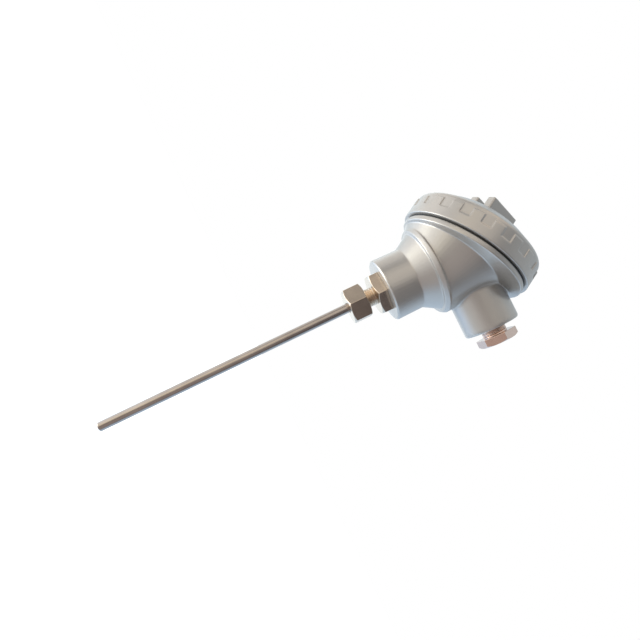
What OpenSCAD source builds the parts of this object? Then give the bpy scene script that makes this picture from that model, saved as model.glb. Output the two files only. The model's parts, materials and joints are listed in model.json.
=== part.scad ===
// Resistance thermometer probe with a die-cast connection head.
// +Z runs along the probe towards the head, +X along the cable entry.
// The origin is on the probe's axis, where the sheath leaves the compression nut.

/* [Probe sheath] */
// Outside diameter of the sheath
sheath_d = 6; // [5:0.5:7]
// Wall of the sheath
sheath_wall = 0.6; // [0.4:0.1:0.8]
// Length of sheath below the compression nut
insertion_len = 170; // [80:5:400]
// Thickness of the closed tip
tip_wall = 1.4; // [1:0.1:3]
// Rounding of the tip's edge
tip_round = 1.1; // [0.4:0.1:2]
// Length of the sensing element
element_len = 20; // [10:1:35]
// Diameter of the sensing element
element_d = 3.2; // [2:0.1:3.4]
// Diameter of a bare conductor
conductor_d = 0.6; // [0.3:0.1:0.8]
// Distance of the conductors from the sheath's axis
conductor_ring_r = 1.1; // [1:0.05:1.2]
// Diameter of a lead's insulation
lead_d = 1.4; // [1:0.1:1.5]

/* [Compression fitting] */
// Nut, across flats
nut_af = 21; // [19:0.5:24]
// Length of the nut
nut_len = 12.2; // [10:0.1:16]
// End wall of the nut
nut_end_wall = 4; // [3:0.5:5]
// Clearance of the nut around the sheath, on the radius
nut_hole_gap = 0.6; // [0.58:0.02:0.9]
// Turn of the nut's flats about the probe
nut_turn = 26; // [0:1:60]
// Thread of the stud that the nut runs on
stud_d = 12; // [11:0.5:14]
// Length of stud that shows between nut and hexagon
stud_show = 5.9; // [4:0.1:14]
// Body hexagon, across flats
hex_af = 25; // [22:0.5:30]
// Thickness of the body hexagon
hex_t = 6.9; // [4:0.1:9]
// Turn of the body's flats about the probe
hex_turn = 34; // [0:1:60]
// Thread that screws into the neck
neck_thread_d = 20; // [18:0.5:22]
// Length of the thread in the neck
neck_thread_len = 16; // [10:0.5:20]
// Outside diameter of the ferrule
ferrule_d = 9.6; // [9:0.1:10]
// Length of the ferrule's straight end
ferrule_band = 1.6; // [1:0.1:2.4]
// Length of the ferrule's cone
ferrule_cone = 2.8; // [2:0.1:3.4]

/* [Neck of the head] */
// Outside diameter of the neck at its end
neck_d = 41; // [38:0.5:44]
// Outside diameter of the neck at its root
neck_root_d = 40.4; // [38:0.1:44]
// Height of the neck
neck_h = 18.5; // [16:0.5:24]
// Chamfer on the neck's end
neck_chamfer = 0.9; // [0.4:0.1:2]
// Outside diameter at the top of the flare
flare_d = 53.2; // [50:0.2:56]
// Height of the flare
flare_h = 10.8; // [8:0.2:12]
// Roll of the bead above the flare
bead_roll_r = 1.9; // [1:0.1:2.2]
// Inside diameter of the throat above the thread
throat_d = 25; // [21:0.5:26]

/* [Bowl of the head] */
// Tilt of the bowl's axis
bowl_tilt = 20; // [18:0.5:22]
// Half angle of the bowl's cone
bowl_half_angle = 20; // [18:0.5:21]
// Outside radius of the bowl at its reference height
bowl_r = 33.2; // [33:0.1:34]
// Reference height of the bowl above the neck's end
bowl_rise = 45; // [44:0.5:46]
// Shift of the bowl away from the cable entry
bowl_shift = 1.5; // [0.5:0.1:2.5]
// Wall of the bowl
bowl_wall = 3.2; // [2.5:0.1:3.6]
// Height of the inner floor above the neck's end
floor_rise = 35; // [34:0.5:36]

/* [Rim and lid] */
// Tilt of the lid away from the cable entry
lid_tilt = 30; // [28:0.5:31]
// Height of the seal's middle above the neck's end
lid_rise = 57; // [56.5:0.5:60]
// Shift of the lid's axis towards the cable entry
lid_shift = 1.5; // [0.5:0.1:2.5]
// How far the lid's edge stands out past the rim
lid_overhang = 1.9; // [1:0.1:2.6]
// Height of the rim's straight band
rim_band = 3.4; // [2.6:0.1:4.5]
// Slope of the shoulder under the rim
shoulder_slope = 10; // [6:0.5:14]
// Wall of the threaded collar
collar_wall = 3.5; // [3:0.1:4.5]
// Height of the collar above the rim
collar_h = 9; // [7:0.5:10]
// Thread play between collar and lid, on the radius
collar_play = 0.3; // [0.2:0.05:0.5]
// Thickness of the sealing ring
gasket_t = 1; // [0.8:0.1:1.6]
// Outside diameter of the lid
lid_d = 89.4; // [88:0.2:92]
// Thickness of the lid's side at its lip
lid_side_wall = 5.4; // [4.8:0.1:6]
// Height of the lid's side up to its shoulder
lid_side_h = 14; // [13:0.5:16]
// Rounding of the lid's shoulder
lid_shoulder_r = 3; // [2:0.5:5]
// Slope of the bevel above the shoulder
lid_bevel_slope = 30; // [25:1:35]
// Distance of the crown's edge from the lid's edge
crown_inset = 12.7; // [11:0.1:16]
// Rise of the crown's low dome
crown_rise = 0.8; // [0.4:0.1:2]
// Wall of the lid's top
lid_wall = 3; // [2.4:0.1:4]

/* [Relief of the lid] */
// Number of raised teeth round the side
tooth_count = 20; // [12:1:30]
// Depth of the relief
relief_depth = 0.7; // [0.5:0.1:1.2]
// Height of the raised lower band
relief_low_h = 7; // [5:0.5:9]
// Height of the teeth's tops
relief_high_h = 12.8; // [11:0.2:13]
// Where the first tooth starts round the lid
relief_start = -92.3; // [-180:0.1:180]
// Thickness of a finger rib
rib_t = 6.8; // [5:0.1:9]
// Length of a finger rib
rib_len = 24.2; // [18:0.2:34]
// Space between the two finger ribs
rib_gap = 8.6; // [6:0.2:14]
// Height of the ribs' tops above the seal
rib_top_h = 37.5; // [30:0.5:40]
// Turn of the ribs about the lid's axis
rib_turn = 27.7; // [0:0.1:90]
// Rounding of the ribs' corners
rib_round = 1.2; // [0.5:0.1:2.5]

/* [Cable entry] */
// Height of the cable entry above the neck's end
boss_rise = 53; // [52:0.5:54]
// Outside diameter of the entry's boss
boss_d = 35.5; // [34:0.5:36.5]
// Reach of the boss from the probe's axis
boss_reach = 51; // [48:0.5:60]
// Rounding of the boss's end
boss_round = 1.2; // [0.6:0.1:2.5]
// Thread of the gland screw
gland_thread_d = 16; // [15:0.5:17]
// Depth of the thread in the boss
gland_depth = 18; // [16:0.5:20]
// Bore from the thread into the bowl
wire_bore = 12.4; // [10:0.2:13]
// Hexagon of the gland screw, across flats
gland_af = 22.8; // [21:0.2:26]
// Thickness of the gland screw's hexagon
gland_head_t = 5.2; // [4:0.1:8]
// Length of gland thread that shows
gland_show = 4.9; // [3:0.1:7]
// Turn of the gland's flats about the entry
gland_turn_deg = 26; // [0:1:60]
// Cable bore of the gland screw
gland_bore = 9; // [7:0.2:9.4]
// Cable bore of the rubber seal
seal_bore = 8; // [6:0.2:8.6]
// Length of the rubber seal
seal_len = 8; // [6:0.5:9]
// Thickness of the thrust washer
thrust_t = 1.2; // [0.8:0.1:2]

/* [Terminal block] */
// Diameter of the ceramic block
block_d = 39; // [38:0.5:40]
// Height of the ceramic block
block_h = 13; // [10:0.5:14]
// Height of the pads under the block
pad_h = 2; // [1:0.5:3]
// Distance of a fixing screw's axis from the block's edge
screw_inset = 3; // [3:0.1:3.4]
// Thread of the block's fixing screws
block_screw_d = 4; // [3:0.5:4]
// Length of a fixing screw below its head
block_screw_len = 16; // [14:0.5:18]
// Hole for the leads through the block
lead_hole_d = 7; // [6:0.5:8]
// Number of terminals
terminal_count = 3; // [2:1:3]
// Distance between terminals
terminal_pitch = 8; // [7.5:0.1:8]
// Width of a terminal strip
strip_w = 6; // [5:0.2:6]
// Length of a terminal strip
strip_len = 10; // [8:0.5:10]
// Thickness of a terminal strip
strip_t = 2; // [1.5:0.1:3]
// Where a terminal strip starts
strip_start = 5.5; // [5:0.1:5.6]
// Thread of a terminal screw
terminal_screw_d = 3; // [2.5:0.1:3]
// Thickness of the barriers between terminals
barrier_t = 1.2; // [0.8:0.1:1.3]
// Height of the barriers above the block
barrier_h = 4; // [2:0.5:5]
// Bend radius of the leads
lead_bend_r = 3; // [2.4:0.1:3.2]

/* [Earth terminal] */
// Where the earth screw stands round the floor
earth_turn = 50; // [45:1:55]
// Space between the earth clamp and the bowl's wall
earth_gap = 0.5; // [0.4:0.1:0.8]
// Height of the earth screw's pad
earth_pad_h = 6; // [4:0.5:7]
// Thread of the earth screw
earth_screw_d = 3; // [2.5:0.1:3]

/* [Fits] */
// Play of a screw thread or turned fit, on the radius
fit_play = 0.08; // [0.05:0.01:0.1]
// Play of a screw in a clearance hole, on the radius
hole_play = 0.2; // [0.1:0.05:0.4]
// Play of a part that is potted or pushed in, on the radius
slip_play = 0.05; // [0.03:0.01:0.1]

/* [Hidden] */
$fn = 96;
SMALL_FN = 32;
EPS = 0.01;
BIG = 400;

STEEL = [0.70, 0.66, 0.60];
NICKEL = [0.74, 0.60, 0.54];
PAINT = [0.66, 0.65, 0.64];
RUBBER = [0.06, 0.06, 0.06];
CERAMIC = [0.90, 0.88, 0.82];
BRASS = [0.78, 0.62, 0.30];

// Heights along the probe
neck_z = nut_len + stud_show + hex_t;
flare_z = neck_z + neck_h;
bead_z = flare_z + flare_h + bead_roll_r / 2;
floor_z = neck_z + floor_rise;
boss_z = neck_z + boss_rise;
block_z = floor_z + pad_h;
block_pitch = block_d - 2 * screw_inset;
block_top = block_z + block_h;
strip_top = block_top + strip_t;

// Sheath and what it holds
sheath_r = sheath_d / 2;
core_gap = 0.05;
core_r = sheath_r - sheath_wall - core_gap;
core_start = tip_wall + core_gap - insertion_len;
element_top = core_start + element_len;
fitting_top = neck_z + neck_thread_len;
seal_overlap = 7;
sheath_top = fitting_top + seal_overlap;
seal_wall = 1.2;
seal_top = sheath_top + 6;
lead_angles = [-120, 0, 120];

// Bite of the ferrule
bite_depth = 0.25;
ferrule_gap = 0.15;
ferrule_z = nut_end_wall + ferrule_gap;
ferrule_top = ferrule_z + ferrule_band + ferrule_cone;
ferrule_nose_r = sheath_r + 0.7;
cone_gap = 0.12;
nut_relief = 0.4;

// Lid frame: heights above the middle of the seal
lid_centre = [lid_shift, 0, neck_z + lid_rise];
lid_r = lid_d / 2;
rim_r = lid_r - lid_overhang;
rim_top = -gasket_t / 2;
lid_floor = gasket_t / 2;
rim_edge = 0.3;
shoulder_r = 26;
collar_top = rim_top + collar_h;
recess_r = lid_r - relief_depth;
lip_round = 0.4;
crown_r = lid_r - crown_inset;
bevel_r = recess_r - lid_shoulder_r * (1 - sin(lid_bevel_slope));
bevel_h = lid_side_h + lid_shoulder_r * cos(lid_bevel_slope);
crown_h = bevel_h + (bevel_r - crown_r) * tan(lid_bevel_slope);
lid_bore_r = lid_r - lid_side_wall;
collar_r = lid_bore_r - collar_play;
tooth_angle = 360 / tooth_count / 2;

// Bowl frame
bowl_down = 27;
bowl_up = 24;
bowl_inner_r = bowl_r - bowl_wall / cos(bowl_half_angle);

// Gland: distances along the cable entry
gland_r = gland_thread_d / 2;
boss_start = boss_d / 2;
gland_floor = boss_reach - gland_depth;
seal_end = gland_floor + seal_len;
thrust_end = seal_end + thrust_t;
gland_head_x = boss_reach + gland_show;
gland_end = gland_head_x + gland_head_t;

// Terminals
screw_head_h = 2.2;
clamp_t = 0.8;
clamp_w = 5.4;
terminal_x = strip_start + strip_len - clamp_w / 2 - 0.8;
terminal_screw_len = 6;
head_ratio = 1.85;
slot_w = 0.9;
slot_depth = 1;
block_recess = 4;
block_recess_r = 4.2;
washer_t = 1;
pad_r = 4.5;
lead_end_x = strip_start + 2.6;
lead_level = strip_top + lead_d / 2 + slip_play;
earth_clamp_r = earth_screw_d / 2 + 1.4;
earth_ring_r = wall_reach(earth_turn, floor_rise + earth_pad_h) - earth_clamp_r - earth_gap;

function terminal_y(i) = (i - (terminal_count - 1) / 2) * terminal_pitch;

// How far the bowl's inner wall is from the probe's axis, at a turn and a height above the neck's end
function wall_reach(turn, h) =
    let (
        spread = tan(bowl_half_angle),
        up = h - bowl_rise,
        along = cos(turn) * cos(bowl_tilt),
        offset = bowl_shift * cos(bowl_tilt) + up * sin(bowl_tilt),
        size = bowl_inner_r + (up * cos(bowl_tilt) - bowl_shift * sin(bowl_tilt)) * spread,
        loss = cos(turn) * sin(bowl_tilt) * spread,
        a = along * along + sin(turn) * sin(turn) - loss * loss,
        b = along * offset + size * loss,
        c = offset * offset - size * size
    )
    (sqrt(b * b - a * c) - b) / a;

module lid_frame() {
    translate(lid_centre) rotate([0, -lid_tilt, 0]) children();
}

// The quarter turn keeps the cone's seam away from that of the rim's shoulder
module bowl_frame() {
    translate([-bowl_shift, 0, neck_z + bowl_rise]) rotate([0, -bowl_tilt, 0]) rotate([0, 0, 90]) children();
}

module entry_frame(x = 0) {
    translate([x, 0, boss_z]) rotate([0, 90, 0]) children();
}

// A rod along +Z with a round edge at its top
module round_rod(r, h, fillet) {
    rotate_extrude() {
        square([r, h - fillet]);
        square([r - fillet, h]);
        translate([r - fillet, h - fillet]) circle(r = fillet, $fn = SMALL_FN);
    }
}

module ring(r_out, r_in, h) {
    difference() {
        cylinder(r = r_out, h = h);
        translate([0, 0, -1]) cylinder(r = r_in, h = h + 2);
    }
}

// A hexagon prism with its corners turned off at its low end, its high end or both
module hex_prism(af, h, low = true, high = true) {
    corner_r = af / sqrt(3);
    cut = (corner_r - af / 2) * tan(30);
    low_end = low ? [[af / 2, 0], [corner_r, cut]] : [[corner_r, 0]];
    high_end = high ? [[corner_r, h - cut], [af / 2, h]] : [[corner_r, h]];
    intersection() {
        cylinder(r = corner_r, h = h, $fn = 6);
        rotate_extrude() polygon(concat([[0, 0]], low_end, high_end, [[0, h]]));
    }
}

// A slotted screw whose head sits on z = 0 and whose thread hangs below
module slotted_screw(d, len, head_r, head_h) {
    difference() {
        union() {
            round_rod(head_r, head_h, head_h / 4);
            translate([0, 0, -len]) cylinder(d = d, h = len + EPS);
        }
        translate([-head_r - 1, -slot_w / 2, head_h - slot_depth]) cube([2 * head_r + 2, slot_w, head_h]);
    }
}

// ---- Connection head ----

module neck_and_flare() {
    rotate_extrude() {
        polygon([[0, neck_z], [neck_d / 2 - neck_chamfer, neck_z], [neck_d / 2, neck_z + neck_chamfer],
            [neck_root_d / 2, flare_z], [flare_d / 2, flare_z + flare_h],
            [flare_d / 2, bead_z], [0, bead_z]]);
        translate([flare_d / 2 + bead_roll_r - 0.4, bead_z]) circle(r = bead_roll_r, $fn = SMALL_FN);
        translate([0, bead_z - bead_roll_r]) square([flare_d / 2 + bead_roll_r - 0.4, 2 * bead_roll_r]);
    }
}

module bowl_cone(r) {
    spread = tan(bowl_half_angle);
    bowl_frame() translate([0, 0, -bowl_down])
        cylinder(r1 = r - bowl_down * spread, r2 = r + bowl_up * spread, h = bowl_down + bowl_up);
}

module above(z) {
    translate([-BIG / 2, -BIG / 2, z]) cube(BIG);
}

module below_lid(h) {
    lid_frame() translate([-BIG / 2, -BIG / 2, h - BIG]) cube(BIG);
}

module bowl_outside() {
    intersection() {
        bowl_cone(bowl_r);
        above(bead_z);
        below_lid(rim_top - rim_band / 2);
    }
}

module rim_and_collar() {
    band_low = rim_top - rim_band;
    lid_frame() {
        rotate_extrude() polygon([[0, rim_top], [rim_r - rim_edge, rim_top], [rim_r, rim_top - rim_edge],
            [rim_r, band_low + rim_edge], [rim_r - rim_edge, band_low],
            [shoulder_r, band_low - (rim_r - rim_edge - shoulder_r) * tan(shoulder_slope)],
            [0, band_low - (rim_r - rim_edge - shoulder_r) * tan(shoulder_slope)]]);
        translate([0, 0, rim_top - EPS]) cylinder(r = collar_r, h = collar_h + EPS);
    }
}

module wiring_space() {
    intersection() {
        bowl_cone(bowl_inner_r);
        above(floor_z);
        below_lid(rim_top - rim_band * 0.7);
    }
    lid_frame() translate([0, 0, rim_top - rim_band * 0.7 - EPS])
        cylinder(r = collar_r - collar_wall, h = collar_h + rim_band + 1);
}

module floor_pads() {
    for (side = [-1, 1])
        translate([0, side * block_pitch / 2, floor_z - EPS]) cylinder(r = pad_r, h = pad_h + EPS);
    difference() {
        rotate([0, 0, earth_turn]) translate([earth_ring_r, 0, floor_z - EPS])
            cylinder(r = earth_clamp_r + earth_gap, h = earth_pad_h + EPS);
        translate([0, 0, block_z]) cylinder(r = block_d / 2 + hole_play, h = earth_pad_h);
    }
}

module head_bores() {
    translate([0, 0, neck_z - 1]) cylinder(d = neck_thread_d + 2 * fit_play, h = neck_thread_len + 2);
    translate([0, 0, fitting_top + 1 - EPS]) cylinder(d = throat_d, h = block_z - fitting_top);
    entry_frame(gland_floor) cylinder(r = gland_r + fit_play, h = gland_depth + 1);
    entry_frame(bowl_inner_r - bowl_shift - 8) cylinder(d = wire_bore, h = gland_floor - bowl_inner_r + bowl_shift + 9);
    for (side = [-1, 1])
        translate([0, side * block_pitch / 2, block_z - 9]) cylinder(d = block_screw_d + 2 * slip_play, h = 10);
    rotate([0, 0, earth_turn]) translate([earth_ring_r, 0, floor_z + earth_pad_h - 8])
        cylinder(d = earth_screw_d + 2 * slip_play, h = 9);
}

module head_housing() {
    color(PAINT) difference() {
        union() {
            difference() {
                union() {
                    neck_and_flare();
                    bowl_outside();
                    rim_and_collar();
                    entry_frame(boss_start) round_rod(boss_d / 2, boss_reach - boss_start, boss_round);
                }
                wiring_space();
            }
            floor_pads();
        }
        head_bores();
    }
}

// ---- Lid ----

// Dome, shoulder and side, with the raised lower band and its round lip
module lid_body() {
    rotate_extrude() {
        polygon([[0, lid_floor], [recess_r, lid_floor], [recess_r, lid_side_h],
            [bevel_r, bevel_h], [crown_r, crown_h], [0, crown_h + crown_rise]]);
        intersection() {
            translate([recess_r - lid_shoulder_r, lid_side_h]) circle(r = lid_shoulder_r);
            square([recess_r, bevel_h]);
        }
        translate([0, lid_floor]) square([lid_r - lip_round, relief_low_h - lid_floor]);
        translate([0, lid_floor + lip_round]) square([lid_r, relief_low_h - lid_floor - lip_round]);
        translate([lid_r - lip_round, lid_floor + lip_round]) circle(r = lip_round, $fn = SMALL_FN);
    }
}

// Teeth that stand up from the raised band
module lid_teeth() {
    translate([0, 0, relief_low_h]) linear_extrude(relief_high_h - relief_low_h) {
        circle(r = recess_r - 1);
        intersection() {
            circle(r = lid_r);
            for (i = [0:tooth_count - 1])
                rotate(relief_start + 2 * i * tooth_angle)
                    polygon([[0, 0], [BIG, 0], [BIG * cos(tooth_angle), BIG * sin(tooth_angle)]]);
        }
    }
}

module finger_rib() {
    root_h = crown_h - lid_wall / 2;
    translate([0, 0, root_h]) linear_extrude(rib_top_h - root_h) {
        square([rib_len - 2 * rib_round, rib_t], center = true);
        square([rib_len, rib_t - 2 * rib_round], center = true);
        for (sx = [-1, 1], sy = [-1, 1])
            translate([sx * (rib_len / 2 - rib_round), sy * (rib_t / 2 - rib_round)])
                circle(r = rib_round, $fn = SMALL_FN);
    }
}

module lid_inside() {
    seat_r = lid_bore_r - 3;
    rotate_extrude() polygon([[0, lid_floor - 1], [lid_bore_r, lid_floor - 1], [lid_bore_r, collar_top + 1],
        [seat_r, lid_side_h], [crown_r, crown_h - lid_wall], [0, crown_h + crown_rise - lid_wall]]);
}

module lid() {
    color(PAINT) lid_frame() difference() {
        union() {
            lid_body();
            lid_teeth();
            for (side = [-1, 1])
                rotate([0, 0, rib_turn]) translate([0, side * (rib_gap + rib_t) / 2, 0]) finger_rib();
        }
        lid_inside();
    }
}

module lid_gasket() {
    color(RUBBER) lid_frame() translate([0, 0, rim_top]) ring(rim_r - rim_edge, collar_r + 0.5, gasket_t);
}

// ---- Compression fitting ----

module compression_body() {
    stud_start = ferrule_z + ferrule_band + 0.2;
    mouth_r = ferrule_d / 2;
    nose_depth = ferrule_top - stud_start + 0.4;
    bore_r = sheath_r + hole_play;
    color(STEEL) difference() {
        union() {
            translate([0, 0, stud_start]) cylinder(d = stud_d, h = neck_z - hex_t - stud_start + EPS);
            translate([0, 0, neck_z - hex_t]) rotate([0, 0, hex_turn]) hex_prism(hex_af, hex_t, high = false);
            translate([0, 0, neck_z - EPS]) cylinder(d = neck_thread_d, h = neck_thread_len + EPS);
        }
        translate([0, 0, stud_start - 1]) cylinder(r = bore_r, h = BIG);
        translate([0, 0, stud_start - EPS]) cylinder(r1 = mouth_r + cone_gap, r2 = bore_r, h = nose_depth + 1);
    }
}

module compression_nut() {
    color(STEEL) difference() {
        rotate([0, 0, nut_turn]) hex_prism(nut_af, nut_len);
        translate([0, 0, -1]) cylinder(r = sheath_r + nut_hole_gap, h = nut_len + 2);
        translate([0, 0, nut_end_wall]) cylinder(r = stud_d / 2 + fit_play, h = nut_len);
        translate([0, 0, nut_end_wall]) cylinder(r = stud_d / 2 + nut_relief, h = 1.5);
    }
}

module ferrule() {
    color(BRASS) difference() {
        rotate_extrude() polygon([[0, ferrule_z], [ferrule_d / 2, ferrule_z],
            [ferrule_d / 2, ferrule_z + ferrule_band], [ferrule_nose_r, ferrule_top], [0, ferrule_top]]);
        translate([0, 0, ferrule_z - 1]) cylinder(r = sheath_r + slip_play, h = BIG);
    }
}

// ---- Probe ----

module sheath() {
    total = insertion_len + sheath_top;
    color(STEEL) difference() {
        translate([0, 0, sheath_top]) mirror([0, 0, 1]) round_rod(sheath_r, total, tip_round);
        translate([0, 0, tip_wall - insertion_len]) cylinder(r = sheath_r - sheath_wall, h = total);
        translate([0, 0, nut_end_wall]) ring(sheath_r + 1, sheath_r - bite_depth, ferrule_band + ferrule_gap);
    }
}

module at_leads() {
    for (a = lead_angles)
        rotate([0, 0, a]) translate([conductor_ring_r, 0, 0]) children();
}

module insulation_core() {
    color(CERAMIC) difference() {
        translate([0, 0, core_start]) cylinder(r = core_r, h = sheath_top - core_start);
        translate([0, 0, core_start - 1]) cylinder(d = element_d + 2 * core_gap, h = element_len + 1 + core_gap);
        at_leads() translate([0, 0, element_top]) cylinder(d = conductor_d + 2 * core_gap, h = BIG, $fn = SMALL_FN);
    }
}

module sensing_element() {
    color(CERAMIC) translate([0, 0, core_start]) cylinder(d = element_d, h = element_len);
}

module cold_end_seal() {
    seal_r = sheath_r + seal_wall;
    color(RUBBER) difference() {
        translate([0, 0, fitting_top]) round_rod(seal_r, seal_top - fitting_top, 0.6);
        translate([0, 0, fitting_top - 1]) cylinder(r = sheath_r + slip_play, h = seal_overlap + 1 + slip_play);
        at_leads() cylinder(d = lead_d + 2 * slip_play, h = BIG, $fn = SMALL_FN);
    }
}

// A lead: bare conductor in the sheath, then an insulated tail that bends over to its terminal
module lead_wire(i) {
    start = [conductor_ring_r * cos(lead_angles[i]), conductor_ring_r * sin(lead_angles[i])];
    reach = [lead_end_x, terminal_y(i)] - start;
    tail_z = sheath_top + 0.2;
    bend_z = lead_level - lead_bend_r;
    color(i == 1 ? [0.75, 0.1, 0.08] : [0.9, 0.9, 0.88])
        translate([start[0], start[1], 0]) rotate([0, 0, atan2(reach[1], reach[0])]) {
            translate([0, 0, element_top + core_gap])
                cylinder(d = conductor_d, h = tail_z - element_top, $fn = SMALL_FN);
            translate([0, 0, tail_z]) cylinder(d = lead_d, h = bend_z - tail_z, $fn = SMALL_FN);
            translate([lead_bend_r, 0, bend_z]) rotate([90, 0, 0]) rotate([0, 0, 90])
                rotate_extrude(angle = 90) translate([lead_bend_r, 0]) circle(d = lead_d, $fn = SMALL_FN);
            translate([lead_bend_r, 0, lead_level]) rotate([0, 90, 0])
                cylinder(d = lead_d, h = norm(reach) - lead_bend_r, $fn = SMALL_FN);
        }
}

// ---- Terminal block ----

module at_terminals() {
    for (i = [0:terminal_count - 1])
        translate([terminal_x, terminal_y(i), 0]) children();
}

module at_block_screws() {
    for (side = [-1, 1])
        translate([0, side * block_pitch / 2, 0]) children();
}

module terminal_block() {
    color(CERAMIC) difference() {
        union() {
            translate([0, 0, block_z]) round_rod(block_d / 2, block_h, 1);
            for (i = [0:terminal_count - 2])
                translate([strip_start, terminal_y(i) + (terminal_pitch - barrier_t) / 2, block_top - EPS])
                    cube([strip_len, barrier_t, barrier_h]);
        }
        translate([0, 0, block_z - 1]) cylinder(d = lead_hole_d, h = BIG);
        at_block_screws() {
            translate([0, 0, block_z - 1]) cylinder(d = block_screw_d + 2 * hole_play, h = BIG, $fn = SMALL_FN);
            translate([0, 0, block_top - block_recess]) cylinder(r = block_recess_r, h = BIG, $fn = SMALL_FN);
        }
        at_terminals() translate([0, 0, strip_top - terminal_screw_len - 1])
            cylinder(d = terminal_screw_d + 2 * slip_play, h = BIG, $fn = SMALL_FN);
    }
}

module terminal_strip(i) {
    color(BRASS) difference() {
        translate([strip_start, terminal_y(i) - strip_w / 2, block_top]) cube([strip_len, strip_w, strip_t]);
        translate([terminal_x, terminal_y(i), block_top - 1])
            cylinder(d = terminal_screw_d + 2 * hole_play, h = BIG, $fn = SMALL_FN);
    }
}

module terminal_clamps() {
    color(STEEL) at_terminals() translate([0, 0, strip_top]) difference() {
        translate([-clamp_w / 2, -clamp_w / 2, 0]) cube([clamp_w, clamp_w, clamp_t]);
        translate([0, 0, -1]) cylinder(d = terminal_screw_d + 2 * hole_play, h = clamp_t + 2, $fn = SMALL_FN);
    }
}

module terminal_screws() {
    color(BRASS) at_terminals() translate([0, 0, strip_top + clamp_t])
        slotted_screw(terminal_screw_d, terminal_screw_len, terminal_screw_d * head_ratio / 2, screw_head_h, $fn = SMALL_FN);
}

module block_washers() {
    color(STEEL) at_block_screws() translate([0, 0, block_top - block_recess]) difference() {
        ring(block_screw_d * 0.85, block_screw_d / 2 + hole_play / 2, washer_t, $fn = SMALL_FN);
        translate([0, -0.4, -1]) cube([block_screw_d, 0.8, washer_t + 2]);
    }
}

module block_screws() {
    color(STEEL) at_block_screws() translate([0, 0, block_top - block_recess + washer_t])
        slotted_screw(block_screw_d, block_screw_len, block_screw_d * 0.85, screw_head_h, $fn = SMALL_FN);
}

module earth_clamp() {
    color(STEEL) rotate([0, 0, earth_turn]) translate([earth_ring_r, 0, floor_z + earth_pad_h])
        ring(earth_clamp_r, earth_screw_d / 2 + hole_play, clamp_t, $fn = SMALL_FN);
}

module earth_screw() {
    color(STEEL) rotate([0, 0, earth_turn]) translate([earth_ring_r, 0, floor_z + earth_pad_h + clamp_t])
        slotted_screw(earth_screw_d, 7, earth_screw_d * head_ratio / 2, screw_head_h, $fn = SMALL_FN);
}

// ---- Cable gland ----

module gland_screw() {
    color(NICKEL) difference() {
        union() {
            entry_frame(thrust_end + slip_play) cylinder(r = gland_r, h = gland_head_x - thrust_end);
            entry_frame(gland_head_x) rotate([0, 0, gland_turn_deg]) hex_prism(gland_af, gland_head_t, low = false);
        }
        entry_frame(thrust_end - 1) cylinder(d = gland_bore, h = gland_end - thrust_end + 2);
    }
}

module thrust_washer() {
    color(NICKEL) entry_frame(seal_end) ring(gland_r - hole_play, gland_bore / 2 + 0.6, thrust_t);
}

module gland_seal() {
    color(RUBBER) entry_frame(gland_floor) ring(gland_r - slip_play, seal_bore / 2, seal_len);
}

head_housing();
lid();
lid_gasket();
compression_body();
compression_nut();
ferrule();
sheath();
insulation_core();
sensing_element();
cold_end_seal();
lead_wire(0);  // lead_wire_1
lead_wire(1);  // lead_wire_2
lead_wire(2);  // lead_wire_3
terminal_block();
terminal_strip(0);  // terminal_strip_1
terminal_strip(1);  // terminal_strip_2
terminal_strip(2);  // terminal_strip_3
terminal_clamps();
terminal_screws();
block_screws();
block_washers();
earth_screw();
earth_clamp();
gland_screw();
thrust_washer();
gland_seal();
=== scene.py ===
"""Resistance thermometer probe with a die-cast connection head, dressed for a studio picture.

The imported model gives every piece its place.  This script softens the castings, flattens the bead,
cuts the visible threads, gives each surface its finish, and sets up the floor, the light and the
camera.
"""

import json
import logging
import math
from dataclasses import dataclass, field
from enum import Enum

import bmesh
import bpy
from mathutils import Euler, Matrix, Vector

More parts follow.
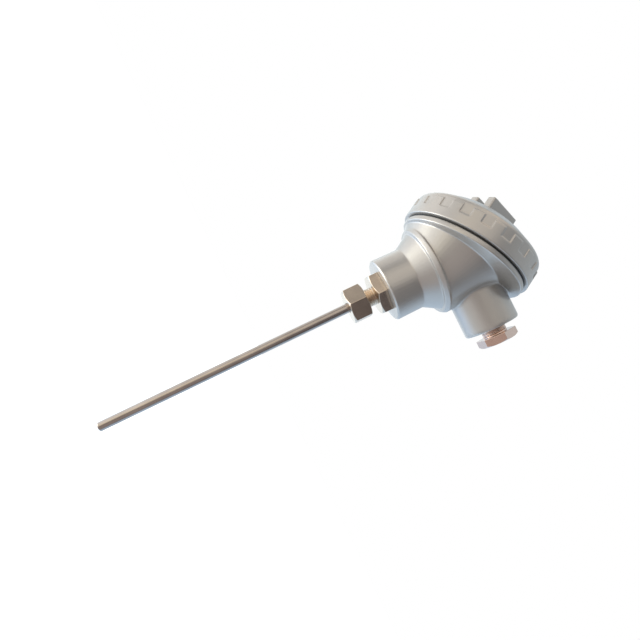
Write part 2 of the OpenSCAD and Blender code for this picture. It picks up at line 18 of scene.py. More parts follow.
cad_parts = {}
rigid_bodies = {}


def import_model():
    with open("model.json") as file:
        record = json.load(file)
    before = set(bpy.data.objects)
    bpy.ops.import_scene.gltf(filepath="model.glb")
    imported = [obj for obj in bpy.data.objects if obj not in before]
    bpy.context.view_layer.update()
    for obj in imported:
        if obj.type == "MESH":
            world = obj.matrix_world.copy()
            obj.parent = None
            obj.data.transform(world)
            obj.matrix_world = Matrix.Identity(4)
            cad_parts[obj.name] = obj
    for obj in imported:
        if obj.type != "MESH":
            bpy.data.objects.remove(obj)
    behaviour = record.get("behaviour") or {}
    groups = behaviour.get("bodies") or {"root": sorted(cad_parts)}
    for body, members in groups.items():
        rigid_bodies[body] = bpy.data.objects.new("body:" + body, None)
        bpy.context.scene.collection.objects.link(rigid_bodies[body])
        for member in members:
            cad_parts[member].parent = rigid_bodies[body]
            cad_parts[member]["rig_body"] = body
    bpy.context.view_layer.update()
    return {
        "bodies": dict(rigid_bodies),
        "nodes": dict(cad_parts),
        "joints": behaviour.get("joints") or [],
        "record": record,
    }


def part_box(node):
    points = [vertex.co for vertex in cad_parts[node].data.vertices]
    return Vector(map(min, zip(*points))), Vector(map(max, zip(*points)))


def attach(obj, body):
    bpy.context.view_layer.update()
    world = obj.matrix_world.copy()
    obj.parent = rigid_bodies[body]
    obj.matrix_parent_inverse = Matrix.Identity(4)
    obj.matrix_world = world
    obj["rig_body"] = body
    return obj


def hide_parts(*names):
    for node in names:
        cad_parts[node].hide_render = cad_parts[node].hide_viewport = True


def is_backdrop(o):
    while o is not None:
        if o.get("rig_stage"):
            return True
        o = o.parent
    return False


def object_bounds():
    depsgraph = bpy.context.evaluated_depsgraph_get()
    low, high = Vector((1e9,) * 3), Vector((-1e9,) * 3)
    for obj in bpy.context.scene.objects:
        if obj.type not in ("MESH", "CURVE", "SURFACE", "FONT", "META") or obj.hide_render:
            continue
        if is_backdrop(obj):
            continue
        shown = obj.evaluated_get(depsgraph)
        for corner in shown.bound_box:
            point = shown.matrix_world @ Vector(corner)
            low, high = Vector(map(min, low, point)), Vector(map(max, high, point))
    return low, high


Colour = tuple[float, float, float]

LOG = logging.getLogger("probe")
MM = 0.001
WHITE = (1.0, 1.0, 1.0, 1.0)
WELD = 0.002 * MM  # packed vertices closer than this are one vertex
ON_WALL = 0.05 * MM  # how far a vertex may lie from the wall that it belongs to
CREASE = math.radians(28.0)  # faces that meet at a wider angle keep a sharp edge


class Axis(Enum):
    """Directions that the object's turned parts lie along."""

    PROBE = Vector((0.0, 0.0, 1.0))
    ENTRY = Vector((1.0, 0.0, 0.0))


# ---------------------------------------------------------------- node helpers


class NodeTree:
    """A thin, typed wrapper round a material's or world's node tree."""

    def __init__(self, tree: bpy.types.NodeTree) -> None:
        """Clear the tree.

        Args:
            tree: The node tree to fill.
        """
        self.tree = tree
        self.tree.nodes.clear()

    def add(self, kind: str, **settings: object) -> bpy.types.Node:
        """Add a node and set its properties.

        Args:
            kind: The node's type name.
            **settings: Properties of the node.

        Returns:
            The new node.
        """
        node = self.tree.nodes.new(kind)
        for name, value in settings.items():
            setattr(node, name, value)
        return node

    def link(self, source: bpy.types.NodeSocket, target: bpy.types.NodeSocket) -> None:
        """Join two sockets.

        Args:
            source: The output to read.
            target: The input to feed.
        """
        self.tree.links.new(source, target)

    def noise(self, vector: bpy.types.NodeSocket, scale: float, detail: float = 3.0,
              roughness: float = 0.5) -> bpy.types.NodeSocket:
        """Add a noise texture.

        Args:
            vector: Where the pattern is read.
            scale: Cells per metre.
            detail: Octaves.
            roughness: Strength of the finer octaves.

        Returns:
            The noise's factor socket.
        """
        node = self.add("ShaderNodeTexNoise")
        node.inputs["Scale"].default_value = scale
        node.inputs["Detail"].default_value = detail
        node.inputs["Roughness"].default_value = roughness
        self.link(vector, node.inputs["Vector"])
        return node.outputs["Fac"]

    def stretched(self, scale: tuple[float, ...] = (1.0, 1.0, 1.0)) -> bpy.types.NodeSocket:
        """Give object coordinates stretched along the axes.

        Args:
            scale: Factor along each axis, where a small one draws the pattern out.

        Returns:
            The vector socket.
        """
        coord = self.add("ShaderNodeTexCoord")
        mapping = self.add("ShaderNodeMapping")
        mapping.inputs["Scale"].default_value = scale
        self.link(coord.outputs["Object"], mapping.inputs["Vector"])
        return mapping.outputs["Vector"]

    def remap(self, value: bpy.types.NodeSocket, low: float, high: float,
              start: float = 0.3, end: float = 0.7) -> bpy.types.NodeSocket:
        """Map a factor to a range.

        Args:
            value: The factor to map.
            low: Result at start.
            high: Result at end.
            start: Factor that gives low.
            end: Factor that gives high.

        Returns:
            The mapped value.
        """
        node = self.add("ShaderNodeMapRange")
        limits = {"From Min": start, "From Max": end, "To Min": low, "To Max": high}
        for name, number in limits.items():
            node.inputs[name].default_value = number
        self.link(value, node.inputs["Value"])
        return node.outputs["Result"]

    def blend(self, factor: bpy.types.NodeSocket, low: Colour,
              high: Colour) -> bpy.types.NodeSocket:
        """Blend two colours.

        Args:
            factor: 0 gives low, 1 gives high.
            low: First colour.
            high: Second colour.

        Returns:
            The blended colour.
        """
        node = self.add("ShaderNodeMix", data_type="RGBA")
        node.inputs["A"].default_value = (*low, 1.0)
        node.inputs["B"].default_value = (*high, 1.0)
        self.link(factor, node.inputs["Factor"])
        return node.outputs["Result"]

    def bump(self, height: bpy.types.NodeSocket, distance: float,
             below: bpy.types.NodeSocket | None = None) -> bpy.types.NodeSocket:
        """Add a bump.

        Args:
            height: Factor that gives the relief.
            distance: Depth of the relief, in metres.
            below: Normal of a coarser bump under this one.

        Returns:
            The bumped normal.
        """
        node = self.add("ShaderNodeBump")
        node.inputs["Distance"].default_value = distance
        self.link(height, node.inputs["Height"])
        if below is not None:
            self.link(below, node.inputs["Normal"])
        return node.outputs["Normal"]


def shade(colour: Colour, factor: float) -> Colour:
    """Scale a colour's brightness.

    Args:
        colour: Linear colour.
        factor: Brightness factor.

    Returns:
        The scaled colour.
    """
    return tuple(min(1.0, channel * factor) for channel in colour)


# ---------------------------------------------------------------- finishes


@dataclass(frozen=True)
class Finish:
    """Base of every finish: a principled surface on object coordinates."""

    name: str
    colour: Colour
    roughness: float = 0.4
    metallic: float = 0.0

    def build(self) -> bpy.types.Material:
        """Make the material.

        Returns:
            The finished material.
        """
        material = bpy.data.materials.new(self.name)
        material.use_nodes = True
        material.diffuse_color = (*self.colour, 1.0)
        nodes = NodeTree(material.node_tree)
        shader = nodes.add("ShaderNodeBsdfPrincipled")
        output = nodes.add("ShaderNodeOutputMaterial")
        nodes.link(shader.outputs["BSDF"], output.inputs["Surface"])
        shader.inputs["Metallic"].default_value = self.metallic
        self.dress(nodes, shader)
        return material

    def dress(self, nodes: NodeTree, shader: bpy.types.Node) -> None:
        """Add the finish's own detail.

        Args:
            nodes: The material's tree.
            shader: Its principled shader.
        """
        raise NotImplementedError

    def tint(self, nodes: NodeTree, shader: bpy.types.Node, factor: bpy.types.NodeSocket,
             darker: float, lighter: float) -> None:
        """Let the colour's brightness follow a factor.

        Args:
            nodes: The material's tree.
            shader: Its principled shader.
            factor: What the brightness follows.
            darker: Share that is taken off where the factor is low.
            lighter: Share that is added where the factor is high.
        """
        tone = nodes.blend(nodes.remap(factor, 0.0, 1.0), shade(self.colour, 1.0 - darker),
                           shade(self.colour, 1.0 + lighter))
        nodes.link(tone, shader.inputs["Base Color"])

    def polish(self, nodes: NodeTree, shader: bpy.types.Node, factor: bpy.types.NodeSocket,
               smoother: float, rougher: float) -> None:
        """Let the roughness follow a factor.

        Args:
            nodes: The material's tree.
            shader: Its principled shader.
            factor: What the roughness follows.
            smoother: What is taken off where the factor is low.
            rougher: What is added where the factor is high.
        """
        gloss = nodes.remap(factor, self.roughness - smoother, self.roughness + rougher)
        nodes.link(gloss, shader.inputs["Roughness"])


@dataclass(frozen=True)
class CastPaint(Finish):
    """Satin silver paint over a die casting, with a faint orange peel and soft mottling."""

    peel_scale: float = 900.0
    peel_depth: float = 0.02 * MM
    flake_scale: float = 5400.0
    flake_depth: float = 0.0024 * MM
    mottle_scale: float = 45.0
    mottle: float = 0.03
    coat: float = 0.3
    coat_roughness: float = 0.2

    def dress(self, nodes: NodeTree, shader: bpy.types.Node) -> None:
        """Add mottling, orange peel and a thin clear coat."""
        place = nodes.stretched()
        clouds = nodes.noise(place, self.mottle_scale, detail=4.0)
        peel = nodes.noise(place, self.peel_scale, detail=2.0)
        flakes = nodes.noise(place, self.flake_scale, detail=1.0)
        self.tint(nodes, shader, clouds, self.mottle, self.mottle)
        self.polish(nodes, shader, clouds, self.mottle, self.mottle)
        coarse = nodes.bump(peel, self.peel_depth)
        nodes.link(nodes.bump(flakes, self.flake_depth, coarse), shader.inputs["Normal"])
        shader.inputs["Coat Weight"].default_value = self.coat
        shader.inputs["Coat Roughness"].default_value = self.coat_roughness


@dataclass(frozen=True)
class TurnedMetal(Finish):
    """Machined metal with fine tool marks round an axis and a slight tarnish."""

    axis: Axis = Axis.PROBE
    mark_scale: float = 2600.0
    mark_depth: float = 0.006 * MM
    mark_stretch: float = 0.05
    stain_scale: float = 160.0
    stain: float = 0.05

    def dress(self, nodes: NodeTree, shader: bpy.types.Node) -> None:
        """Add tool marks across the axis and cloudy stains."""
        stretch = tuple(max(self.mark_stretch, component) for component in self.axis.value)
        marks = nodes.noise(nodes.stretched(stretch), self.mark_scale, detail=2.0)
        clouds = nodes.noise(nodes.stretched(), self.stain_scale, detail=5.0, roughness=0.6)
        self.tint(nodes, shader, clouds, self.stain, self.stain / 2)
        self.polish(nodes, shader, clouds, smoother=0.02, rougher=0.03)
        nodes.link(nodes.bump(marks, self.mark_depth), shader.inputs["Normal"])


@dataclass(frozen=True)
class DrawnTube(Finish):
    """Drawn stainless tube: long fine lines, faint bands of heat and handling."""

    line_scale: float = 3200.0
    line_depth: float = 0.004 * MM
    line_stretch: tuple[float, float, float] = (1.0, 1.0, 0.02)
    band_scale: float = 60.0
    band_stretch: tuple[float, float, float] = (0.3, 0.3, 1.0)

    def dress(self, nodes: NodeTree, shader: bpy.types.Node) -> None:
        """Add lines along the tube and slow changes of tone."""
        lines = nodes.noise(nodes.stretched(self.line_stretch), self.line_scale, detail=2.0)
        bands = nodes.noise(nodes.stretched(self.band_stretch), self.band_scale, detail=4.0)
        self.tint(nodes, shader, bands, darker=0.12, lighter=0.08)
        self.polish(nodes, shader, lines, smoother=0.05, rougher=0.08)
        nodes.link(nodes.bump(lines, self.line_depth), shader.inputs["Normal"])


@dataclass(frozen=True)
class Grained(Finish):
    """Rubber, ceramic or plastic: a fine even grain and a little change of tone."""

    grain_scale: float = 2000.0
    grain_depth: float = 0.02 * MM
    tone_share: float = 12.0
    contrast: float = 0.08

    def dress(self, nodes: NodeTree, shader: bpy.types.Node) -> None:
        """Add the grain and a slower change of tone."""
        place = nodes.stretched()
        grain = nodes.noise(place, self.grain_scale)
        tone = nodes.noise(place, self.grain_scale / self.tone_share)
        self.tint(nodes, shader, tone, self.contrast, self.contrast)
        self.polish(nodes, shader, grain, smoother=0.06, rougher=0.06)
        nodes.link(nodes.bump(grain, self.grain_depth), shader.inputs["Normal"])


class Finishes:
    """Builds each finish once and hands it out by the record's slot name."""

    PALETTE = (
        CastPaint("painted_casting", (0.44, 0.415, 0.39), 0.33, 0.65),
        TurnedMetal("fitting_steel", (0.60, 0.50, 0.40), 0.20, 1.0),
        DrawnTube("sheath_steel", (0.40, 0.355, 0.325), 0.20, 1.0),
        TurnedMetal("screw_steel", (0.62, 0.62, 0.60), 0.30, 1.0),
        TurnedMetal("gland_nickel", (0.70, 0.53, 0.45), 0.16, 1.0, axis=Axis.ENTRY),
        TurnedMetal("brass", (0.72, 0.53, 0.24), 0.28, 1.0),
        Grained("black_rubber", (0.012, 0.012, 0.012), 0.55),
        Grained("ceramic", (0.82, 0.79, 0.72), 0.6, grain_depth=0.04 * MM),
        Grained("lead_white", (0.82, 0.82, 0.80), 0.4),
        Grained("lead_red", (0.55, 0.03, 0.02), 0.4),
    )

    def __init__(self) -> None:
        """Build every finish in the palette."""
        self.materials = {finish.name: finish.build() for finish in self.PALETTE}

    def apply(self, piece: bpy.types.Object, slot: str) -> None:
        """Give a piece one finish all over.

        Args:
            piece: The object to dress.
            slot: The record's material slot.
        """
        piece.data.materials.clear()
        piece.data.materials.append(self.materials[slot])
        for polygon in piece.data.polygons:
            polygon.material_index = 0


# ---------------------------------------------------------------- shaping


def merged_copy(node: bpy.types.Object) -> bmesh.types.BMesh:
    """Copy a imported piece's mesh with its loose triangles joined.

    Args:
        node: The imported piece.

    Returns:
        A new bmesh, which the caller frees.
    """
    bm = bmesh.new()
    bm.from_mesh(node.data)
    bmesh.ops.remove_doubles(bm, verts=bm.verts, dist=WELD)
    return bm


def new_piece(name: str, bm: bmesh.types.BMesh) -> bpy.types.Object:
    """Turn a bmesh into a linked object at the origin and free it.

    Args:
        name: The object's name.
        bm: The finished mesh.

    Returns:
        The new object.
    """
    mesh = bpy.data.meshes.new(name)
    bm.to_mesh(mesh)
    bm.free()
    piece = bpy.data.objects.new(name, mesh)
    bpy.context.scene.collection.objects.link(piece)
    return piece


def bake_modifiers(piece: bpy.types.Object) -> None:
    """Replace a piece's mesh by the result of its modifiers.

    Args:
        piece: The object to bake.
    """
    depsgraph = bpy.context.evaluated_depsgraph_get()
    mesh = bpy.data.meshes.new_from_object(piece.evaluated_get(depsgraph))
    old = piece.data
    piece.modifiers.clear()
    piece.data = mesh
    mesh.name = piece.name
    bpy.data.meshes.remove(old)


@dataclass
class Fillet:
    """A band round an axis in which two cast walls flow into each other.

    It reaches from the inner to the outer radius and is relaxed as often as rounds says.
    """

    axis: Axis
    centre: Vector
    inner: float
    outer: float
    rounds: int

    def holds(self, point: Vector) -> bool:
        """Tell whether a point lies in the band.

        Args:
            point: Where to look.

        Returns:
            True inside the band, on the side that the axis points to.
        """
        offset = point - self.centre
        along = offset.dot(self.axis.value)
        radius = (offset - self.axis.value * along).length
        return along > 0.0 and self.inner < radius < self.outer


@dataclass
class Softening:
    """Rounds a piece's edges as casting or deburring does.

    The voxel is the size of the new faces, rounds says how often they are relaxed, and pull how
    far a vertex moves each time.  No more than the given number of triangles is kept.
    """

    voxel: float
    rounds: int
    triangles: int
    fillet: Fillet | None = None
    pull: float = 0.5

    def apply(self, piece: bpy.types.Object) -> None:
        """Remesh a piece finely, relax its edges and thin it out again.

        Args:
            piece: The object to soften.
        """
        remesh = piece.modifiers.new("Remesh", "REMESH")
        remesh.mode = "VOXEL"
        remesh.voxel_size = self.voxel
        remesh.adaptivity = 0.0
        bake_modifiers(piece)
        bm = bmesh.new()
        bm.from_mesh(piece.data)
        self.relax(bm, bm.verts[:], self.rounds)
        if self.fillet is not None:
            band = [vert for vert in bm.verts if self.fillet.holds(vert.co)]
            self.relax(bm, band, self.fillet.rounds)
        bm.to_mesh(piece.data)
        bm.free()
        count = sum(len(polygon.vertices) - 2 for polygon in piece.data.polygons)
        if count > self.triangles:
            thin = piece.modifiers.new("Thin", "DECIMATE")
            thin.ratio = self.triangles / count
            bake_modifiers(piece)
        piece.data.shade_smooth()

    def relax(self, bm: bmesh.types.BMesh, verts: list[bmesh.types.BMVert], rounds: int) -> None:
        """Move vertices towards the middle of their neighbours.

        Args:
            bm: The mesh to relax.
            verts: The vertices that move.
            rounds: How many times they move.
        """
        for _ in range(rounds):
            bmesh.ops.smooth_vert(bm, verts=verts, factor=self.pull,
                                  use_axis_x=True, use_axis_y=True, use_axis_z=True)


def machined() -> Softening:
    """Give the softening of a turned and deburred piece.

    Returns:
        The softening.
    """
    return Softening(voxel=0.15 * MM, rounds=1, triangles=120_000)


@dataclass
class FlatBead:
    """A bead round the probe's axis whose rolled front is dressed to a slanting flat.

    The roll's centre runs at ring_r and ring_z.  The flat faces out at the slant.  It lies outside
    the chord that spans the reach to both sides, by the cut.
    """

    ring_r: float
    ring_z: float
    roll_r: float
    slant: float
    reach: float
    cut: float

    def flatten(self, bm: bmesh.types.BMesh) -> None:
        """Draw the roll's front in to the flat.

        Args:
            bm: The mesh that holds the bead.
        """
        depth = self.roll_r * math.cos(self.reach) + self.cut
        for vert in bm.verts:
            radius = math.hypot(vert.co.x, vert.co.y)
            out, up = radius - self.ring_r, vert.co.z - self.ring_z
            turn = math.atan2(up, out) - self.slant
            if abs(math.hypot(out, up) - self.roll_r) > ON_WALL or abs(turn) > self.reach:
                continue
            size = min(self.roll_r, depth / math.cos(turn))
            wide = (self.ring_r + size * math.cos(turn + self.slant)) / radius
            vert.co = Vector((vert.co.x * wide, vert.co.y * wide,
                              self.ring_z + size * math.sin(turn + self.slant)))


@dataclass
class Thread:
    """A helical thread ridge on a shank that has been turned down to its root.

    Crest is the thread's radius.  Start and end are measured along the axis from the centre.  Sunk
    is how deep the ridge's foot lies, as a share of the thread's depth, so that it roots in the
    shank.  The flats are where in a pitch the ridge's foot and its crest begin and end.
    """

    axis: Axis
    centre: Vector
    crest: float
    depth: float
    pitch: float
    start: float
    end: float
    sunk: float = 1.15
    foot_flat: tuple[float, float] = (0.04, 0.96)
    crest_flat: tuple[float, float] = (0.42, 0.58)
    steps: int = 64

    def frame(self) -> Matrix:
        """Give the matrix that lays the probe's axis along the thread's.

        Returns:
            The thread's own frame.
        """
        turn = self.axis.value.to_track_quat("Z", "Y").to_matrix()
        return Matrix.Translation(self.centre) @ turn.to_4x4()

    def turn_down(self, bm: bmesh.types.BMesh) -> None:
        """Shrink the shank's outer wall to the thread's root.

        Args:
            bm: The mesh that holds the shank.
        """
        local = self.frame().inverted()
        wall = []
        for vert in bm.verts:
            point = local @ vert.co
            radius = math.hypot(point.x, point.y)
            threaded = self.start - ON_WALL < point.z < self.end + ON_WALL
            if threaded and abs(radius - self.crest) < ON_WALL:
                wall.append(vert)
        shrink = (self.crest - self.depth) / self.crest
        bmesh.ops.scale(bm, vec=(shrink, shrink, 1.0), space=local, verts=wall)

    def add_ridge(self, bm: bmesh.types.BMesh) -> None:
        """Wind the ridge round the shank.

        Args:
            bm: The mesh to add to.
        """
        foot = self.crest - self.depth * self.sunk
        section = ((foot, self.foot_flat[0]), (self.crest, self.crest_flat[0]),
                   (self.crest, self.crest_flat[1]), (foot, self.foot_flat[1]))
        turns = (self.end - self.start) / self.pitch - 1.0
        frame = self.frame()
        ring = [bm.verts.new(frame @ Vector((radius, 0.0, self.start + share * self.pitch)))
                for radius, share in section]
        face = bm.faces.new(ring)
        steps = round(self.steps * turns)
        step = self.axis.value * (self.pitch * turns / steps)
        bmesh.ops.spin(bm, geom=[face], cent=self.centre, axis=self.axis.value, dvec=step,
                       angle=math.tau * turns, steps=steps, use_duplicate=False)


# ---------------------------------------------------------------- sub-assemblies


@dataclass
class SubAssembly:
    """A group of pieces that is dressed together."""

    frame: dict
    finishes: Finishes
    slots: dict[str, str] = field(init=False)

    def __post_init__(self) -> None:
        """Read each node's slot from the record."""
        parts = self.frame["record"]["subparts"]
        self.slots = {part["node"]: part["material_slot"] for part in parts}

    def body_of(self, node: str) -> str:
        """Name the body that a node rides on.

        Args:
            node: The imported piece's name.

        Returns:
            The body's name.
        """
        return self.frame["nodes"][node]["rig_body"]

    def dress(self, *nodes: str) -> None:
        """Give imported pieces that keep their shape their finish.

        Args:
            *nodes: The pieces' names.
        """
        for node in nodes:
            piece = self.frame["nodes"][node]
            self.finishes.apply(piece, self.slots[node])
            piece.data.shade_smooth()
            piece.data.set_sharp_from_angle(angle=CREASE)
            LOG.info("%s keeps its shape", node)

    def stand_in(self, node: str, bm: bmesh.types.BMesh, softening: Softening) -> bpy.types.Object:
        """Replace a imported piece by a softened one.

        Args:
            node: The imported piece's name.
            bm: The new piece's mesh before it is softened.
            softening: How its edges are rounded.

        Returns:
            The new piece.
        """
        piece = new_piece(f"{node}_finished", bm)
        softening.apply(piece)
        self.finishes.apply(piece, self.slots[node])
        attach(piece, self.body_of(node))
        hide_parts(node)
        LOG.info("%s: %d faces", piece.name, len(piece.data.polygons))
        return piece


@dataclass
class ConnectionHead(SubAssembly):
    """The die-cast housing, its screw lid and the seal between them."""

    entry_z: float = 78.0 * MM
    boss_r: float = 17.75 * MM
    boss_root: float = 20.0 * MM
    root_in: float = 0.4 * MM
    root_out: float = 2.4 * MM
    voxel: float = 0.32 * MM
    triangles: int = 190_000
    bead: FlatBead = field(default_factory=lambda: FlatBead(
        ring_r=28.1 * MM, ring_z=55.25 * MM, roll_r=1.9 * MM,
        slant=math.radians(-31.0), reach=math.radians(59.0), cut=0.2 * MM))

    def build(self) -> None:
        """Build the head's visible pieces."""
        root = Fillet(Axis.ENTRY, Vector((self.boss_root, 0.0, self.entry_z)), rounds=24,
                      inner=self.boss_r - self.root_in, outer=self.boss_r + self.root_out)
        casting = Softening(self.voxel, rounds=3, triangles=self.triangles, fillet=root)
        cover = Softening(self.voxel, rounds=2, triangles=self.triangles)
        housing = merged_copy(self.frame["nodes"]["head_housing"])
        self.bead.flatten(housing)
        self.stand_in("head_housing", housing, casting)
        self.stand_in("lid", merged_copy(self.frame["nodes"]["lid"]), cover)
        self.dress("lid_gasket")


@dataclass
class CompressionFitting(SubAssembly):
    """The fitting body with its threaded stud, the nut and the ferrule."""

    stud_r: float = 6.0 * MM
    stud_show: float = 5.9 * MM
    stud_pitch: float = 1.25 * MM
    stud_depth: float = 0.4 * MM
    softening: Softening = field(default_factory=machined)

    def build(self) -> None:
        """Build the fitting's pieces."""
        body = merged_copy(self.frame["nodes"]["compression_body"])
        low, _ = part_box("compression_body")
        _, nut_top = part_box("compression_nut")
        stud = Thread(Axis.PROBE, Vector(), crest=self.stud_r, depth=self.stud_depth,
                      pitch=self.stud_pitch, start=low.z, end=nut_top.z + self.stud_show)
        stud.turn_down(body)
        stud.add_ridge(body)
        nut = merged_copy(self.frame["nodes"]["compression_nut"])
        self.stand_in("compression_body", body, self.softening)
        self.stand_in("compression_nut", nut, self.softening)
        self.dress("ferrule")


@dataclass
class CableGland(SubAssembly):
    """The hollow hexagon screw with its thread, the thrust washer and the rubber seal."""

    screw_r: float = 8.0 * MM
    head_t: float = 5.2 * MM
    pitch: float = 1.5 * MM
    depth: float = 0.3 * MM
    softening: Softening = field(default_factory=machined)

    def build(self) -> None:
        """Build the gland's pieces."""
        screw = merged_copy(self.frame["nodes"]["gland_screw"])
        low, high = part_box("gland_screw")
        centre = Vector((0.0, 0.0, (low.z + high.z) / 2))
        thread = Thread(Axis.ENTRY, centre, crest=self.screw_r, depth=self.depth,
                        pitch=self.pitch, start=low.x, end=high.x - self.head_t)
        thread.turn_down(screw)
        thread.add_ridge(screw)
        self.stand_in("gland_screw", screw, self.softening)
        self.dress("thrust_washer", "gland_seal")


@dataclass
class Probe(SubAssembly):
    """The sheath and what is packed into it."""

    def build(self) -> None:
        """Dress the probe's pieces."""
        self.dress("sheath", "insulation_core", "sensing_element", "cold_end_seal",
                   "lead_wire_1", "lead_wire_2", "lead_wire_3")


@dataclass
class TerminalSet(SubAssembly):
    """The ceramic block with its terminals and screws, and the earth screw."""

    def build(self) -> None:
        """Dress the terminals' pieces."""
        self.dress("terminal_block", "terminal_strip_1", "terminal_strip_2", "terminal_strip_3",
                   "terminal_clamps", "terminal_screws", "block_screws", "block_washers",
                   "earth_screw", "earth_clamp")


# ---------------------------------------------------------------- studio


@dataclass(frozen=True)
class Glow:
    """A soft patch of light in the surroundings, placed by the camera's own directions.

    The patch is black where a direction's share along it is start and full where it is end.
    """

    side: float
    up: float
    front: float
    start: float
    end: float
    colour: Colour


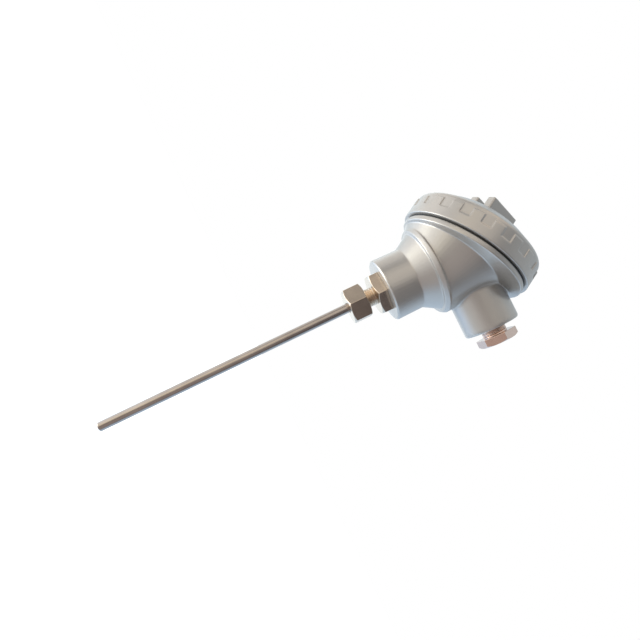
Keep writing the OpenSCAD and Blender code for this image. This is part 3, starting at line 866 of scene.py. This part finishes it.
@dataclass
class Studio:
    """Floor, surroundings and camera.

    All the light comes from the surroundings.  Angles are in degrees, and the camera looks at the
    aim from the distance.
    """

    azimuth: float = 2.60
    elevation: float = -4.35
    roll: float = 64.41
    distance: float = 0.350
    aim: Vector = field(default_factory=lambda: Vector((-0.87, 3.32, -19.15)) * MM)
    lens: float = 30.90
    sensor: float = 36.0
    near: float = 10.0 * MM
    floor_size: float = 3.0
    floor_gap: float = 30.0 * MM
    floor_colour: Colour = (0.85, 0.85, 0.85)
    floor_roughness: float = 0.9
    floor_glow: float = 0.75
    room: Colour = (0.14, 0.13, 0.14)
    glows: tuple[Glow, ...] = (
        Glow(-0.95, 0.29, 0.14, 0.4, 1.0, (1.55, 1.55, 1.50)),  # left, broad: the key light
        Glow(-0.98, 0.20, 0.0, 0.90, 1.0, (4.6, 4.6, 4.0)),  # the key light's core
        Glow(-0.90, 0.0, -0.44, 0.72, 1.0, (0.75, 1.10, 1.60)),  # left behind, cool
        Glow(0.83, 0.48, -0.29, 0.0, 1.0, (0.54, 0.64, 0.69)),  # right, very broad
        Glow(0.60, 0.70, 0.40, 0.88, 1.0, (0.70, 0.42, 0.15)),  # right above, warm
        Glow(0.08, 0.53, 0.85, 0.72, 1.0, (0.87, 0.82, 0.73)),  # front, from above the camera
        Glow(-0.45, 0.40, 0.80, 0.88, 1.0, (0.42, 0.34, 0.16)),  # front left, warm
        Glow(-0.20, -0.57, 0.80, 0.72, 1.0, (0.43, 0.36, 0.32)),  # front, from below the camera
        Glow(-0.09, 0.91, -0.41, 0.72, 1.0, (0.73, 0.68, 0.61)),  # above
        Glow(-0.30, 0.33, -0.90, 0.72, 1.0, (0.64, 0.76, 0.82)),  # behind, from above the object
        Glow(-0.14, -0.07, -0.99, 0.88, 1.0, (0.50, 0.50, 0.48)),  # straight behind
        Glow(-0.07, -0.88, -0.46, 0.4, 1.0, (0.72, 1.0, 1.30)),  # below, broad and cool
        Glow(-0.50, -0.85, -0.10, 0.88, 1.0, (0.29, 0.44, 0.58)),  # below left, cool
    )

    def camera_turn(self) -> Matrix:
        """Give the camera's rotation.

        Returns:
            A matrix with the directions right, up and backward as its columns.
        """
        tilt = math.radians(90.0 - self.elevation)
        level = Euler((tilt, 0.0, math.radians(self.azimuth))).to_matrix()
        return level @ Matrix.Rotation(math.radians(self.roll), 3, "Z")

    def build(self) -> None:
        """Set up the whole studio."""
        scene = bpy.context.scene
        scene.view_settings.view_transform = "Standard"
        self.add_camera(scene)
        self.add_world(scene)
        self.add_floor()

    def add_camera(self, scene: bpy.types.Scene) -> None:
        """Place the camera.

        Args:
            scene: The scene that it takes the picture of.
        """
        camera = bpy.data.cameras.new("Camera")
        camera.lens = self.lens
        camera.sensor_width = self.sensor
        camera.clip_start = self.near
        turn = self.camera_turn()
        place = self.aim + turn.col[2] * self.distance
        eye = bpy.data.objects.new("Camera", camera)
        eye.matrix_world = Matrix.Translation(place) @ turn.to_4x4()
        scene.collection.objects.link(eye)
        scene.camera = eye

    def add_world(self, scene: bpy.types.Scene) -> None:
        """Surround the object with soft patches of light, and show plain white behind it.

        Args:
            scene: The scene to light.
        """
        world = bpy.data.worlds.new("Surroundings")
        world.use_nodes = True
        scene.world = world
        nodes = NodeTree(world.node_tree)
        direction = nodes.add("ShaderNodeTexCoord").outputs["Generated"]
        light = nodes.add("ShaderNodeRGB").outputs["Color"]
        light.default_value = (*self.room, 1.0)
        for glow in self.glows:
            light = self.add_glow(nodes, direction, light, glow)
        shown = nodes.add("ShaderNodeBackground")
        shown.inputs["Color"].default_value = WHITE
        lit = nodes.add("ShaderNodeBackground")
        nodes.link(light, lit.inputs["Color"])
        path = nodes.add("ShaderNodeLightPath")
        choose = nodes.add("ShaderNodeMixShader")
        nodes.link(path.outputs["Is Camera Ray"], choose.inputs["Fac"])
        nodes.link(lit.outputs["Background"], choose.inputs[1])
        nodes.link(shown.outputs["Background"], choose.inputs[2])
        output = nodes.add("ShaderNodeOutputWorld")
        nodes.link(choose.outputs["Shader"], output.inputs["Surface"])

    def add_glow(self, nodes: NodeTree, direction: bpy.types.NodeSocket,
                 light: bpy.types.NodeSocket, glow: Glow) -> bpy.types.NodeSocket:
        """Add one patch of light to the surroundings.

        Args:
            nodes: The world's tree.
            direction: Where a ray goes.
            light: What shines from there so far.
            glow: The patch to add.

        Returns:
            The light with the patch added.
        """
        towards = (self.camera_turn() @ Vector((glow.side, glow.up, glow.front))).normalized()
        dot = nodes.add("ShaderNodeVectorMath", operation="DOT_PRODUCT")
        dot.inputs[1].default_value = towards
        nodes.link(direction, dot.inputs[0])
        share = nodes.add("ShaderNodeMapRange", interpolation_type="SMOOTHSTEP")
        share.inputs["From Min"].default_value = glow.start
        share.inputs["From Max"].default_value = glow.end
        nodes.link(dot.outputs["Value"], share.inputs["Value"])
        total = nodes.add("ShaderNodeVectorMath", operation="MULTIPLY_ADD")
        total.inputs[1].default_value = glow.colour
        nodes.link(share.outputs["Result"], total.inputs[0])
        nodes.link(light, total.inputs[2])
        return total.outputs["Vector"]

    def add_floor(self) -> None:
        """Lay a pale floor under the probe's tip."""
        low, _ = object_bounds()
        bm = bmesh.new()
        bmesh.ops.create_grid(bm, x_segments=1, y_segments=1, size=self.floor_size)
        bmesh.ops.translate(bm, vec=(0.0, 0.0, low[2] - self.floor_gap), verts=bm.verts)
        floor = new_piece("Floor", bm)
        floor.data.materials.append(self.floor_material())
        floor.visible_glossy = False
        floor.visible_shadow = False
        floor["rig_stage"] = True

    def floor_material(self) -> bpy.types.Material:
        """Make a pale floor that the camera sees as white, with the object's shadow on it.

        Returns:
            The floor's material.
        """
        material = bpy.data.materials.new("Floor")
        material.use_nodes = True
        nodes = NodeTree(material.node_tree)
        shader = nodes.add("ShaderNodeBsdfPrincipled")
        shader.inputs["Base Color"].default_value = (*self.floor_colour, 1.0)
        shader.inputs["Roughness"].default_value = self.floor_roughness
        shader.inputs["Emission Color"].default_value = WHITE
        path = nodes.add("ShaderNodeLightPath")
        glow = nodes.remap(path.outputs["Is Camera Ray"], 0.0, self.floor_glow, start=0.0, end=1.0)
        nodes.link(glow, shader.inputs["Emission Strength"])
        output = nodes.add("ShaderNodeOutputMaterial")
        nodes.link(shader.outputs["BSDF"], output.inputs["Surface"])
        return material


def main() -> None:
    """Build every sub-assembly in order and the studio round them."""
    logging.basicConfig(level=logging.INFO, format="%(name)s: %(message)s")
    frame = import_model()
    finishes = Finishes()
    for kind in (ConnectionHead, CompressionFitting, CableGland, Probe, TerminalSet):
        kind(frame, finishes).build()
        LOG.info("%s is done", kind.__name__)
    Studio().build()


if __name__ == "__main__":
    main()
